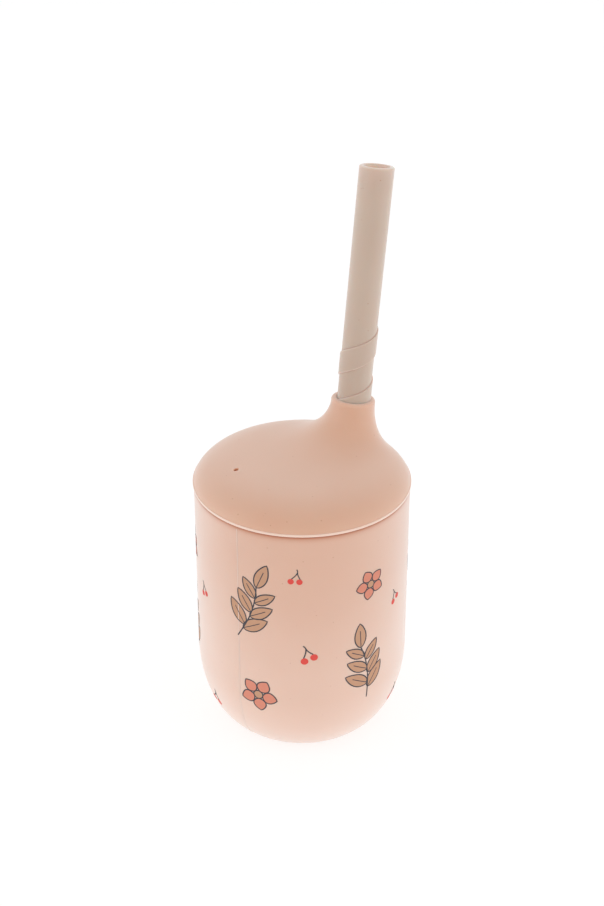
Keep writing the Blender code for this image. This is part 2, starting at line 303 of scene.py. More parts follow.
def wrap_tree():
    """Copies of a flat shape, laid round the cup: x runs round it, y up to its rim, z stands off it."""
    tree = bpy.data.node_groups.new("wrap_round_cup", "GeometryNodeTree")
    sockets = {
        "Layout": "NodeSocketGeometry",
        "Motif": "NodeSocketObject",
        "Section": "NodeSocketObject",
        "Girth Radius": "NodeSocketFloat",
        "Thickness": "NodeSocketFloat",
        "Weld": "NodeSocketFloat",
        "Material": "NodeSocketMaterial",
    }
    for socket_name, kind in sockets.items():
        tree.interface.new_socket(socket_name, in_out="INPUT", socket_type=kind)
    tree.interface.new_socket("Geometry", in_out="OUTPUT", socket_type="NodeSocketGeometry")
    given = add_node(tree, "NodeGroupInput").outputs
    motif = add_node(tree, "GeometryNodeObjectInfo", None, {"Object": given["Motif"]})
    section = add_node(tree, "GeometryNodeObjectInfo", None, {"Object": given["Section"]})
    turn = add_node(tree, "GeometryNodeInputNamedAttribute", {"data_type": "FLOAT", "Name": "turn"})
    size = add_node(tree, "GeometryNodeInputNamedAttribute", {"data_type": "FLOAT", "Name": "size"})
    spin = add_node(tree, "ShaderNodeCombineXYZ", None, {"Z": turn.outputs["Attribute"]})
    spin = add_node(tree, "FunctionNodeEulerToRotation", None, {0: spin.outputs[0]})
    copies = add_node(
        tree,
        "GeometryNodeInstanceOnPoints",
        None,
        {
            "Points": given["Layout"],
            "Instance": motif.outputs["Geometry"],
            "Rotation": spin.outputs[0],
            "Scale": size.outputs["Attribute"],
        },
    )
    flat = add_node(tree, "GeometryNodeRealizeInstances", None, {0: copies.outputs[0]})
    raised = add_node(
        tree,
        "GeometryNodeExtrudeMesh",
        {"mode": "FACES", "Individual": False},
        {"Mesh": flat.outputs[0], "Offset Scale": given["Thickness"]},
    )
    under = add_node(tree, "GeometryNodeFlipFaces", None, {0: flat.outputs[0]})
    both = add_node(tree, "GeometryNodeJoinGeometry", None, {0: raised.outputs["Mesh"]})
    tree.links.new(under.outputs[0], both.inputs[0])
    closed = add_node(
        tree, "GeometryNodeMergeByDistance", None, {"Geometry": both.outputs[0], "Distance": given["Weld"]}
    )
    spot = add_node(tree, "GeometryNodeInputPosition")
    spot = add_node(tree, "ShaderNodeSeparateXYZ", None, {0: spot.outputs[0]}).outputs
    depth = add_node(tree, "ShaderNodeMath", {"operation": "MULTIPLY", 1: -1.0}, {0: spot["Y"]})
    angle = add_node(
        tree, "ShaderNodeMath", {"operation": "DIVIDE"}, {0: spot["X"], 1: given["Girth Radius"]}
    )
    on_section = add_node(
        tree,
        "GeometryNodeSampleCurve",
        {"mode": "LENGTH"},
        {"Curves": section.outputs["Geometry"], "Length": depth.outputs[0]},
    )
    down = add_node(tree, "ShaderNodeSeparateXYZ", None, {0: on_section.outputs["Tangent"]}).outputs
    out_x = add_node(tree, "ShaderNodeMath", {"operation": "MULTIPLY", 1: -1.0}, {0: down["Z"]})
    out = add_node(tree, "ShaderNodeCombineXYZ", None, {"X": out_x.outputs[0], "Z": down["X"]})
    stood_off = add_node(
        tree,
        "ShaderNodeVectorMath",
        {"operation": "MULTIPLY_ADD"},
        {0: out.outputs[0], 1: spot["Z"], 2: on_section.outputs["Position"]},
    )
    round_cup = add_node(
        tree,
        "ShaderNodeVectorRotate",
        {"rotation_type": "Z_AXIS"},
        {"Vector": stood_off.outputs[0], "Angle": angle.outputs[0]},
    )
    wrapped = add_node(
        tree,
        "GeometryNodeSetPosition",
        None,
        {"Geometry": closed.outputs[0], "Position": round_cup.outputs[0]},
    )
    real = add_node(tree, "GeometryNodeRealizeInstances", None, {0: wrapped.outputs[0]})
    finished = add_node(
        tree, "GeometryNodeSetMaterial", None, {"Geometry": real.outputs[0], "Material": given["Material"]}
    )
    add_node(tree, "NodeGroupOutput", None, {0: finished.outputs[0]})
    return tree


def evaluate_tree(name, start_mesh, tree, values):
    """The plain mesh that a tree makes from a start mesh and its named inputs."""
    maker = bpy.data.objects.new(name + "_maker", start_mesh)
    bpy.context.scene.collection.objects.link(maker)
    modifier = maker.modifiers.new(tree.name, "NODES")
    modifier.node_group = tree
    for item in tree.interface.items_tree:
        if item.name in values:
            modifier[item.identifier] = values[item.name]
    evaluated = maker.evaluated_get(bpy.context.evaluated_depsgraph_get())
    mesh = bpy.data.meshes.new_from_object(evaluated)
    maker.modifiers.remove(modifier)
    bpy.data.objects.remove(maker)
    mesh.name = name
    return mesh


def layout_mesh(name, places):
    """Points for copies of a motif: each place is its angle, drop from the rim, turn and size."""
    mesh = bpy.data.meshes.new(name)
    points = [(math.radians(angle) * CUP_BELLY_RADIUS, -drop, 0.0) for angle, drop, _, _ in places]
    mesh.from_pydata(points, [], [])
    for attribute_name, column in (("turn", 2), ("size", 3)):
        attribute = mesh.attributes.new(attribute_name, "FLOAT", "POINT")
        attribute.data.foreach_set("value", [place[column] for place in places])
    return mesh


def wrap_on_cup(name, flat_mesh, places, thickness, material):
    """A flat shape's copies as one piece on the cup's outside."""
    motif = bpy.data.objects.new(name + "_motif", flat_mesh)
    values = {
        "Motif": motif,
        "Section": cup_section,
        "Girth Radius": CUP_BELLY_RADIUS,
        "Thickness": thickness,
        "Weld": WELD,
        "Material": material,
    }
    mesh = evaluate_tree(name, layout_mesh(name, places), wrap_round_cup, values)
    bpy.data.objects.remove(motif)
    piece = add_piece(name, mesh)
    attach(piece, "cup")
    return piece


def section_curve(name, points):
    """A section as a plain curve, for a tree to sample."""
    curve = bpy.data.curves.new(name, "CURVE")
    curve.dimensions = "3D"
    spline = curve.splines.new("POLY")
    spline.points.add(len(points) - 1)
    for point, (radius, height) in zip(spline.points, points):
        point.co = (radius, 0.0, height, 1.0)
    return bpy.data.objects.new(name, curve)


def flat_mesh_from(work, name):
    """A flat mesh from a drawing in millimetres, sunk a little so that no gap shows under its edge."""
    bmesh.ops.remove_doubles(work, verts=work.verts, dist=0.001)
    for face in work.faces:
        face.normal_update()
        if face.normal.z < 0:
            face.normal_flip()
    bmesh.ops.scale(work, verts=work.verts, vec=(MM, MM, MM))
    bmesh.ops.translate(work, verts=work.verts, vec=(0.0, 0.0, -PRINT_SINK))
    mesh = bpy.data.meshes.new(name)
    work.to_mesh(mesh)
    work.free()
    return mesh


def stroke(work, points, width, closed=False):
    """A line of even width through points, in a flat drawing."""
    count = len(points)
    rows = []
    for i, (x, y) in enumerate(points):
        before = points[i - 1] if closed or i > 0 else points[i]
        after = points[(i + 1) % count] if closed or i < count - 1 else points[i]
        run = Vector((after[0] - before[0], after[1] - before[1])).normalized() * (width / 2)
        left = work.verts.new((x - run.y, y + run.x, 0.0))
        right = work.verts.new((x + run.y, y - run.x, 0.0))
        rows.append((left, right))
    for row, following in zip(rows, rows[1:] + (rows[:1] if closed else [])):
        work.faces.new((row[0], row[1], following[1], following[0]))


wrap_round_cup = wrap_tree()
cup_section = section_curve("cup_section", cup_outside)
section_length = sum(math.dist(a, b) for a, b in zip(cup_outside, cup_outside[1:]))
ridge_length = section_length - CUP_BASE_RADIUS
ridge_steps = round(ridge_length / RIDGE_PIECE)
ridge = bmesh.new()
ridge_top = math.pi / 2 * CUP_EDGE_ROUND
ridge_run = (ridge_length - ridge_top) / ridge_steps
ridge_line = [(0.0, -(ridge_top + ridge_run * i) / MM) for i in range(ridge_steps)]
stroke(ridge, ridge_line, RIDGE_WIDTH / MM)
ridges = wrap_on_cup(
    "cup_parting_ridges",
    flat_mesh_from(ridge, "ridge"),
    [(angle, 0.0, 0.0, 1.0) for angle in RIDGE_ANGLES],
    PRINT_SINK + RIDGE_STANDS,
    cup_silicone,
)
# A painted highlight makes the ridges paler than the wall.
paint_light_and_shade(ridges.data, "painted_light", lambda at: RIDGE_PAINTED_HIGHLIGHT)

# Print
# The cup's outside carries a printed scatter of leaf sprigs, blossoms and berries in tan, coral and red.
# Each ink is a thin matte film on the silicone, with slate outlines printed last. The drawings are in
# millimetres, and Geometry Nodes lays their copies round the cup.
LINE = 0.4
INK_FILM = 0.03 * MM
LINE_FILM = 0.045 * MM
PRINT_COLUMNS = 6
COLUMN_TURN = 360.0 / PRINT_COLUMNS
FIRST_COLUMN = -162.0
TAN = "#C29476"
TAN_DEEP = "#BC8D6F"
CORAL = "#D68871"
CORAL_DEEP = "#D0806A"
RED = "#DC4C42"
RED_DEEP = "#D3443B"
SLATE = "#454247"
SLATE_DEEP = "#3E3A40"
BLADE_BELLY = 0.85
BLADE_ROUND = 0.75


def blade_point(base, angle, length, width, along, across):
    """A point of a leaf or petal that grows from base; along and across run 0 to 1 and -1 to 1."""
    half = width / 2 * math.sin(math.pi * along**BLADE_BELLY) ** BLADE_ROUND
    x = along * length
    y = half * across
    cosine = math.cos(angle)
    sine = math.sin(angle)
    return (base[0] + x * cosine - y * sine, base[1] + x * sine + y * cosine)


def blade(work, base, angle, length, width, rows=10, columns=4):
    """A filled leaf or petal."""
    grid = []
    sides = [2 * j / columns - 1 for j in range(columns + 1)]
    for i in range(rows + 1):
        points = [blade_point(base, angle, length, width, i / rows, side) for side in sides]
        grid.append([work.verts.new((x, y, 0.0)) for x, y in points])
    for row, following in zip(grid, grid[1:]):
        for j in range(columns):
            work.faces.new((row[j], row[j + 1], following[j + 1], following[j]))


def blade_edge(base, angle, length, width, rows=14):
    """The outline of a leaf or petal."""
    there = [blade_point(base, angle, length, width, i / rows, 1.0) for i in range(rows)]
    back = [blade_point(base, angle, length, width, 1 - i / rows, -1.0) for i in range(rows)]
    return there + back


def disc_edge(centre, radius, steps=24):
    """The outline of a round."""
    angles = [2 * math.pi * i / steps for i in range(steps)]
    return [(centre[0] + radius * math.cos(a), centre[1] + radius * math.sin(a)) for a in angles]


def disc(work, centre, radius, steps=18):
    """A filled round."""
    middle = work.verts.new((centre[0], centre[1], 0.0))
    rim = [work.verts.new((x, y, 0.0)) for x, y in disc_edge(centre, radius, steps)]
    for i in range(steps):
        work.faces.new((middle, rim[i], rim[(i + 1) % steps]))


def printing_ink(name, hex_colour, deep_hex):
    """Screen-printed silicone ink: an even matte film, a touch mottled where it wetted the cup unevenly."""
    mottle_size = 1.2 * MM
    material = bpy.data.materials.new(name)
    material.use_nodes = True
    tree = material.node_tree
    shader = tree.nodes["Principled BSDF"]
    place = {"Vector": add_node(tree, "ShaderNodeTexCoord").outputs["Object"]}
    mottle = add_node(tree, "ShaderNodeTexNoise", {"Scale": 1 / mottle_size, "Detail": 3.0}, place)
    film = add_node(
        tree,
        "ShaderNodeMix",
        {"data_type": "RGBA", 6: linear(hex_colour), 7: linear(deep_hex)},
        {0: mottle.outputs["Fac"]},
    )
    matte = add_node(
        tree, "ShaderNodeMapRange", {"To Min": 0.5, "To Max": 0.65}, {"Value": mottle.outputs["Fac"]}
    )
    tree.links.new(film.outputs[2], shader.inputs["Base Color"])
    tree.links.new(matte.outputs["Result"], shader.inputs["Roughness"])
    shader.inputs["IOR"].default_value = SILICONE_IOR
    return material


SPRIG_HEIGHT = 29.0
SPRIG_BEND = 2.6
SPRIG_PAIRS = 3
FIRST_PAIR_AT = 0.17
PAIR_STEP = 0.2
PAIR_STAGGER = 0.03
PAIR_SHRINK = 0.1
TIP_LEAF_AT = 0.74
TIP_LEAF_LEAN = 0.15
TIP_LEAF_SIZE = 0.95
LEAF_LENGTH = 10.0
LEAF_WIDTH = 4.5
LEAF_SPREAD = math.radians(46.0)
STEM_STEPS = 20
STEM_DRAWN = 16
VEIN_STEPS = 10
VEIN_DRAWN = 8
VEIN_LINE = LINE * 0.7


def sprig_stem(share):
    """The sprig's stem, from its foot to its tip, with a light bend."""
    return (SPRIG_BEND * math.sin(math.pi * share) - SPRIG_BEND / 2, SPRIG_HEIGHT * (share - 0.5))


sprig_leaves = bmesh.new()
sprig_lines = bmesh.new()
leaf_places = [(sprig_stem(TIP_LEAF_AT), math.pi / 2 - TIP_LEAF_LEAN, TIP_LEAF_SIZE)]
for pair in range(SPRIG_PAIRS):
    for side in (-1, 1):
        share = FIRST_PAIR_AT + PAIR_STEP * pair + PAIR_STAGGER * side
        leaf_angle = math.pi / 2 + side * LEAF_SPREAD
        leaf_places.append((sprig_stem(share), leaf_angle, 1.0 - PAIR_SHRINK * pair))
for base, angle, size in leaf_places:
    leaf = (base, angle, LEAF_LENGTH * size, LEAF_WIDTH * size)
    blade(sprig_leaves, *leaf)
    stroke(sprig_lines, blade_edge(*leaf), LINE, closed=True)
    vein = [blade_point(*leaf, i / VEIN_STEPS, 0.0) for i in range(VEIN_DRAWN)]
    stroke(sprig_lines, vein, VEIN_LINE)
stroke(sprig_lines, [sprig_stem(i / STEM_STEPS) for i in range(STEM_DRAWN)], LINE)

PETALS = 5
PETAL_FOOT = 1.5
PETAL_LENGTH = 5.0
PETAL_WIDTH = 4.4
BLOSSOM_MIDDLE = 1.6
blossom_petals = bmesh.new()
blossom_centre = bmesh.new()
blossom_lines = bmesh.new()
for petal in range(PETALS):
    angle = math.pi / 2 + 2 * math.pi * petal / PETALS
    base = (PETAL_FOOT * math.cos(angle), PETAL_FOOT * math.sin(angle))
    blade(blossom_petals, base, angle, PETAL_LENGTH, PETAL_WIDTH)
    stroke(blossom_lines, blade_edge(base, angle, PETAL_LENGTH, PETAL_WIDTH), LINE, closed=True)
disc(blossom_centre, (0.0, 0.0), BLOSSOM_MIDDLE)
stroke(blossom_lines, disc_edge((0.0, 0.0), BLOSSOM_MIDDLE), LINE, closed=True)

BERRY_RADIUS = 1.25
BERRY_CENTRES = ((-1.6, -1.9), (1.7, -1.2))
STALK_STEPS = 4
STALK_BEND = 1.6
STALK_FORK = (0.0, 2.8)
STALK_TIP = ((-0.2, 3.5), (-0.6, 4.0))
berry_fruit = bmesh.new()
berry_stems = bmesh.new()
for centre in BERRY_CENTRES:
    disc(berry_fruit, centre, BERRY_RADIUS)
    berry_top = centre[1] + BERRY_RADIUS
    stalk = []
    for i in range(STALK_STEPS + 1):
        share = i / STALK_STEPS
        to_go = 1 - share
        stalk.append((centre[0] * to_go**STALK_BEND, berry_top * to_go + STALK_FORK[1] * share))
    stroke(berry_stems, stalk, LINE)
stroke(berry_stems, [STALK_FORK, *STALK_TIP], LINE)

# The columns alternate, so each pair holds a value for a high sprig's column and one for a low sprig's.
SPRIG_TILTS = (math.radians(-14.0), math.radians(12.0))
SPRIG_DROPS = (27.0 * MM, 52.0 * MM)
BLOSSOM_DROPS = (62.0 * MM, 22.0 * MM)
BLOSSOM_SIZES = (1.0, 0.85)
BLOSSOM_SHIFT = 4.0
BERRY_DROPS = (44.0 * MM, 76.0 * MM)
SMALL_BERRY_DROPS = (15.0 * MM, 33.0 * MM)
SMALL_BERRY_SHIFT = 6.0
SMALL_BERRY_SIZE = 0.8
sprigs = []
blossoms = []
berries = []
for column in range(PRINT_COLUMNS):
    angle = FIRST_COLUMN + COLUMN_TURN * column
    between = angle + COLUMN_TURN / 2
    kind = column % 2
    tilt = SPRIG_TILTS[kind]
    sprigs.append((angle, SPRIG_DROPS[kind], tilt, 1.0))
    blossoms.append((angle + BLOSSOM_SHIFT, BLOSSOM_DROPS[kind], tilt * 2, BLOSSOM_SIZES[kind]))
    berries.append((between, BERRY_DROPS[kind], -tilt, 1.0))
    berries.append((between - SMALL_BERRY_SHIFT, SMALL_BERRY_DROPS[kind], tilt, SMALL_BERRY_SIZE))

tan_ink = printing_ink("printing_ink_tan", TAN, TAN_DEEP)
coral_ink = printing_ink("printing_ink_coral", CORAL, CORAL_DEEP)
red_ink = printing_ink("printing_ink_red", RED, RED_DEEP)
slate_ink = printing_ink("printing_ink_slate", SLATE, SLATE_DEEP)
prints = (
    ("print_sprig_leaves", sprig_leaves, sprigs, INK_FILM, tan_ink),
    ("print_sprig_lines", sprig_lines, sprigs, LINE_FILM, slate_ink),
    ("print_blossom_petals", blossom_petals, blossoms, INK_FILM, coral_ink),
    ("print_blossom_centres", blossom_centre, blossoms, INK_FILM, tan_ink),
    ("print_blossom_lines", blossom_lines, blossoms, LINE_FILM, slate_ink),
    ("print_berries", berry_fruit, berries, INK_FILM, red_ink),
    ("print_berry_stems", berry_stems, berries, LINE_FILM, slate_ink),
)
for name, drawing, places, film, ink in prints:
    wrap_on_cup(name, flat_mesh_from(drawing, name), places, PRINT_SINK + film, ink)
bpy.data.objects.remove(cup_section)

# Lid
# The lid is a silicone casting that plugs into the cup's mouth. Its dome sweeps up into an off-centre neck
# that leans with the straw, and a thin edge lies on the cup's rim. A small round vent pierces the dome.
LID_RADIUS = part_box("lid")[1].x
SKIRT_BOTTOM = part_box("lid")[0].z
FLANGE_GAP = 0.1 * MM
FLANGE_Z = CUP_HEIGHT + FLANGE_GAP
EDGE_RISE = 1.0 * MM
EDGE_Z = CUP_HEIGHT + EDGE_RISE
LID_EDGE_ROUND = 0.28 * MM
UNDER_ROUND = 0.15 * MM
LID_CROWN = 6.55 * MM
SHOULDER_POWER = 7.1
SHOULDER_ROUND = 0.76
LID_WALL = 2.0 * MM
NECK_LEAN = math.radians(6.0)
NECK_RISE = 19.5 * MM
BORE_RADIUS = 6.0 * MM
NECK_RADIUS = 7.2 * MM
NECK_TO_EDGE = 4.05 * MM
NECK_GRIP = 6.0 * MM
LIP_RADIUS = 5.45 * MM
LIP_DEPTH = 1.5 * MM
LIP_INNER_ROUND = 0.3 * MM
NECK_LIP_ROUND = 0.8 * MM
FLARE_SPREAD = 0.2
FLARE_RINGS = 72
LID_STEPS = 192
PLUG_GAP = 0.3 * MM
BEAD_STANDS = 0.5 * MM
SKIRT_WALL = 1.8 * MM
BEAD_RADIUS = CUP_RIM_RADIUS - CUP_WALL - PLUG_GAP
SKIRT_RADIUS = BEAD_RADIUS - BEAD_STANDS
SKIRT_INNER_RADIUS = SKIRT_RADIUS - SKIRT_WALL
BEAD_HEIGHT = 2.4 * MM
BEAD_STEPS = 8
VENT_RADIUS = 0.75 * MM
VENT_CHAMFER = 0.2 * MM
VENT_STRETCH = 1.15
VENT_AT = 21.9 * MM
VENT_ANGLE = math.radians(155.3)
VENT_STEPS = 32
LID_PINK = "#DFB195"
LID_PINK_DEEP = "#DAA88B"
# Painted highlights on the lid's edge, the neck's lip and the vent's rim.
EDGE_PAINTED_HIGHLIGHT = 0.47
EDGE_HIGHLIGHT_FROM = 0.2 * MM
EDGE_HIGHLIGHT_TO = 0.08 * MM
LIP_PAINTED_HIGHLIGHT = 0.05
LIP_HIGHLIGHT_FROM = 1.2 * MM
LIP_HIGHLIGHT_TO = 0.7 * MM
VENT_RIM_PAINTED_HIGHLIGHT = 0.15
VENT_HIGHLIGHT_FROM = 1.6 * MM
VENT_HIGHLIGHT_TO = 1.0 * MM
# A painted warm glow and painted shade in the vent's hole, and painted shade in the edge's lower corner.
VENT_PAINTED_GLOW = 0.8
VENT_PAINTED_SHADE = 0.5
VENT_PAINT_FROM = 1.4 * VENT_RADIUS
VENT_PAINT_TO = 1.2 * VENT_RADIUS
CORNER_PAINTED_SHADE = 0.8
CORNER_FROM = 1.0 * MM
CORNER_TO = 0.5 * MM

neck_mouth = Vector((LID_RADIUS - NECK_TO_EDGE - NECK_RADIUS, 0.0, EDGE_Z + NECK_RISE))
lean = Matrix.Rotation(NECK_LEAN, 3, "Y")
straw_axis = lean @ Vector((0.0, 0.0, 1.0))


def neck_ring(radius, along):
    """A ring about the neck's leaning axis, at a distance along it from the mouth."""
    return [neck_mouth + lean @ point for point in turned_ring(radius, along, LID_STEPS)]


def dome_z(radius):
    """Height of the dome at a distance from the cup's axis: nearly level, with a rounded shoulder."""
    share = min(radius / dome_radius, 1.0)
    return EDGE_Z + LID_CROWN * (1.0 - share**SHOULDER_POWER) ** SHOULDER_ROUND


def flare_rings(neck_radius, neck_along, edge_radius, drop):
    """Rings that spread from the leaning neck to a round edge and sink onto the dome, or a drop below."""
    neck = neck_ring(neck_radius, neck_along)
    centre = neck_mouth + straw_axis * neck_along
    rings = [neck]
    for k in range(1, FLARE_RINGS):
        spread = (1.0 - math.cos(math.pi * k / FLARE_RINGS)) / 2
        sink = math.sqrt(1.0 - (1.0 - spread) ** (1.0 / FLARE_SPREAD))
        radius = neck_radius + (edge_radius - neck_radius) * spread
        ring = []
        for i, level in enumerate(turned_ring(radius, 0.0, LID_STEPS)):
            x = centre.x * (1.0 - spread) + level.x
            z = (1.0 - sink) * neck[i].z + sink * (dome_z(math.hypot(x, level.y)) - drop)
            lean_shift = math.tan(NECK_LEAN) * (centre.z - z) * (1.0 - sink)
            ring.append(Vector((x - lean_shift, level.y, z)))
        rings.append(ring)
    return rings


dome_radius = LID_RADIUS - LID_EDGE_ROUND
hollow_z = dome_z(SKIRT_INNER_RADIUS) - LID_WALL
bead_z = (FLANGE_Z + SKIRT_BOTTOM) / 2
edge_fillet = (LID_EDGE_ROUND, LID_EDGE_ROUND)
lip_fillet = (NECK_LIP_ROUND, NECK_LIP_ROUND)
inner_fillet = (LIP_INNER_ROUND, LIP_INNER_ROUND)
under_fillet = (UNDER_ROUND, UNDER_ROUND)
under_centre = (LID_RADIUS - UNDER_ROUND, FLANGE_Z + UNDER_ROUND)
lid_section = arc((dome_radius, EDGE_Z - LID_EDGE_ROUND), edge_fillet, 90.0, 0.0, FILLET_STEPS)
lid_section += arc(under_centre, under_fillet, 0.0, -90.0, FILLET_STEPS)
lid_section += [(SKIRT_RADIUS, FLANGE_Z)]
bead_radii = (BEAD_RADIUS - SKIRT_RADIUS, BEAD_HEIGHT / 2)
lid_section += arc((SKIRT_RADIUS, bead_z), bead_radii, 90.0, -90.0, BEAD_STEPS)
lid_section += [(SKIRT_RADIUS, SKIRT_BOTTOM), (SKIRT_INNER_RADIUS, SKIRT_BOTTOM)]
lid_section += [(SKIRT_INNER_RADIUS, hollow_z)]
lip = [(BORE_RADIUS, -LIP_DEPTH)]
lip += arc((LIP_RADIUS + LIP_INNER_ROUND, -LIP_INNER_ROUND), inner_fillet, 180.0, 90.0, FILLET_STEPS)
lip += arc((NECK_RADIUS - NECK_LIP_ROUND, -NECK_LIP_ROUND), lip_fillet, 90.0, 0.0, FILLET_STEPS)[:-1]
lid_rings = flare_rings(NECK_RADIUS, -NECK_LIP_ROUND, dome_radius, 0.0)
lid_rings += [turned_ring(radius, height, LID_STEPS) for radius, height in lid_section]
lid_rings += flare_rings(BORE_RADIUS, -NECK_GRIP, SKIRT_INNER_RADIUS, LID_WALL)[::-1]
lid_rings += [neck_ring(radius, along) for radius, along in lip]
lid_mesh = skin("lid_shell", lid_rings, closed=True)

vent_from = Vector((VENT_AT * math.cos(VENT_ANGLE), VENT_AT * math.sin(VENT_ANGLE), neck_mouth.z))
lid_points = [vertex.co for vertex in lid_mesh.vertices]
lid_faces = [face.vertices for face in lid_mesh.polygons]
lid_surface = BVHTree.FromPolygons(lid_points, lid_faces)
vent_point, vent_normal, _, _ = lid_surface.ray_cast(vent_from, Vector((0.0, 0.0, -1.0)))
vent_depth = 2 * LID_CROWN
vent_wide = VENT_RADIUS + VENT_CHAMFER
vent_section = [(0.0, VENT_CHAMFER), (vent_wide + VENT_CHAMFER, VENT_CHAMFER), (VENT_RADIUS, -VENT_CHAMFER)]
vent_section += [(VENT_RADIUS, -vent_depth), (0.0, -vent_depth)]
vent_rings = [turned_ring(radius, height, VENT_STEPS) for radius, height in vent_section]
vent_cutter = add_piece("vent_cutter", skin("vent_cutter", vent_rings, closed=False))
vent_cutter.data.transform(Matrix.Diagonal((VENT_STRETCH, 1 / VENT_STRETCH, 1.0, 1.0)))
vent_tilt = Vector((0.0, 0.0, 1.0)).rotation_difference(vent_normal)
vent_cutter.data.transform(vent_tilt.to_matrix().to_4x4())
vent_cutter.data.transform(Matrix.Translation(vent_point))
lid_shell = add_piece("lid_shell", lid_mesh)
vent_cut = lid_shell.modifiers.new("vent", "BOOLEAN")
vent_cut.operation = "DIFFERENCE"
vent_cut.solver = "EXACT"
vent_cut.object = vent_cutter
pierced = lid_shell.evaluated_get(bpy.context.evaluated_depsgraph_get())
pierced_mesh = bpy.data.meshes.new_from_object(pierced)
bpy.data.objects.remove(lid_shell)
bpy.data.objects.remove(vent_cutter)


def lid_painted_light(at):
    """Painted highlights on thin places of the lid: its edge, the neck's lip and the vent's rim."""
    edge = ramp(math.hypot(at.x, at.y), LID_RADIUS - EDGE_HIGHLIGHT_FROM, LID_RADIUS - EDGE_HIGHLIGHT_TO)
    lip = ramp((at - neck_mouth).dot(straw_axis), -LIP_HIGHLIGHT_FROM, -LIP_HIGHLIGHT_TO)
    vent_rim = ramp((at - vent_point).length, VENT_HIGHLIGHT_FROM, VENT_HIGHLIGHT_TO)
    return max(EDGE_PAINTED_HIGHLIGHT * edge, LIP_PAINTED_HIGHLIGHT * lip, VENT_RIM_PAINTED_HIGHLIGHT * vent_rim)


def vent_hollow(at):
    """How far down the vent's hole a point lies."""
    drop = (vent_point - at).dot(vent_normal)
    from_axis = (at - vent_point + vent_normal * drop).length
    return ramp(drop, 0.0, VENT_CHAMFER) * ramp(from_axis, VENT_PAINT_FROM, VENT_PAINT_TO)


def lid_painted_shade(at):
    """Painted shade in the vent's hole, and in the lower corner of the edge that lies on the cup."""
    corner = ramp(math.hypot(at.x, at.y), LID_RADIUS - CORNER_FROM, LID_RADIUS - CORNER_TO)
    corner *= ramp(at.z, FLANGE_Z + UNDER_ROUND, FLANGE_Z)
    return max(VENT_PAINTED_SHADE * vent_hollow(at), CORNER_PAINTED_SHADE * corner)


lid_silicone = cast_silicone(
    "cast_silicone_rose", LID_PINK, LID_PINK_DEEP, roughness=0.45, sheen=0.7, glow=0.25
)
# Painted highlights on the lid's edge, the neck's lip and the vent's rim.
paint_light_and_shade(pierced_mesh, "painted_light", lid_painted_light)
# A painted warm glow and painted shade in the vent's hole, and painted shade at the edge's lower corner.
paint_light_and_shade(pierced_mesh, "painted_warm_glow_and_shade", lambda at: VENT_PAINTED_GLOW * vent_hollow(at))
paint_light_and_shade(pierced_mesh, "deep", lid_painted_shade)
lid = add_piece("lid_domed", pierced_mesh, lid_silicone)
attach(lid, "lid")
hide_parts("lid")

# Straw
# The straw is a soft silicone tube that the neck grips. A low band winds round its middle stretch, above
# and below the neck. Its drinking end is rounded over.
STRAW_RADIUS = 5.3 * MM
STRAW_BORE = 3.3 * MM
STRAW_TOP = 73.8 * MM
STRAW_LOW = (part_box("straw")[0].z + STRAW_RADIUS * math.sin(NECK_LEAN) - neck_mouth.z) / math.cos(NECK_LEAN)
STRAW_MOUTH = 3.8 * MM
MOUTH_DEPTH = 12.0 * MM
MOUTH_SKIN = 0.1 * MM
STRAW_END_ROUND = 0.5 * MM
BAND_RAISE = 0.4 * MM
BAND_WIDTH = 7.85 * MM
BAND_PITCH = 16.75 * MM
BAND_TURNS = 4.0
BAND_TOP = 26.75 * MM
BAND_START = math.radians(15.0)
BAND_FADE = math.radians(25.0)
BAND_EDGE = 0.25 * MM
BAND_CREASE = 0.35 * MM
STRAW_STEPS = 120
ROWS_IN_PITCH = 24
STRAW_GREIGE = "#C6B1A0"
STRAW_GREIGE_DEEP = "#BFA896"
# Painted shade in the creases at the foot of the band's edges.
CREASE_PAINTED_SHADE = 0.3
# Painted highlights on the band's crests and the drinking end, and a painted warm glow in the bore.
UPPER_CREST_PAINTED_HIGHLIGHT = 0.15
LOWER_CREST_PAINTED_HIGHLIGHT = 0.25
END_RIM_PAINTED_HIGHLIGHT = 0.3
NEAR_END_PAINTED_LIGHT = 0.1
NEAR_END = 3.0 * MM
MOUTH_PAINTED_GLOW = 0.75
MOUTH_PAINTED_WARM_GLOW = 0.12


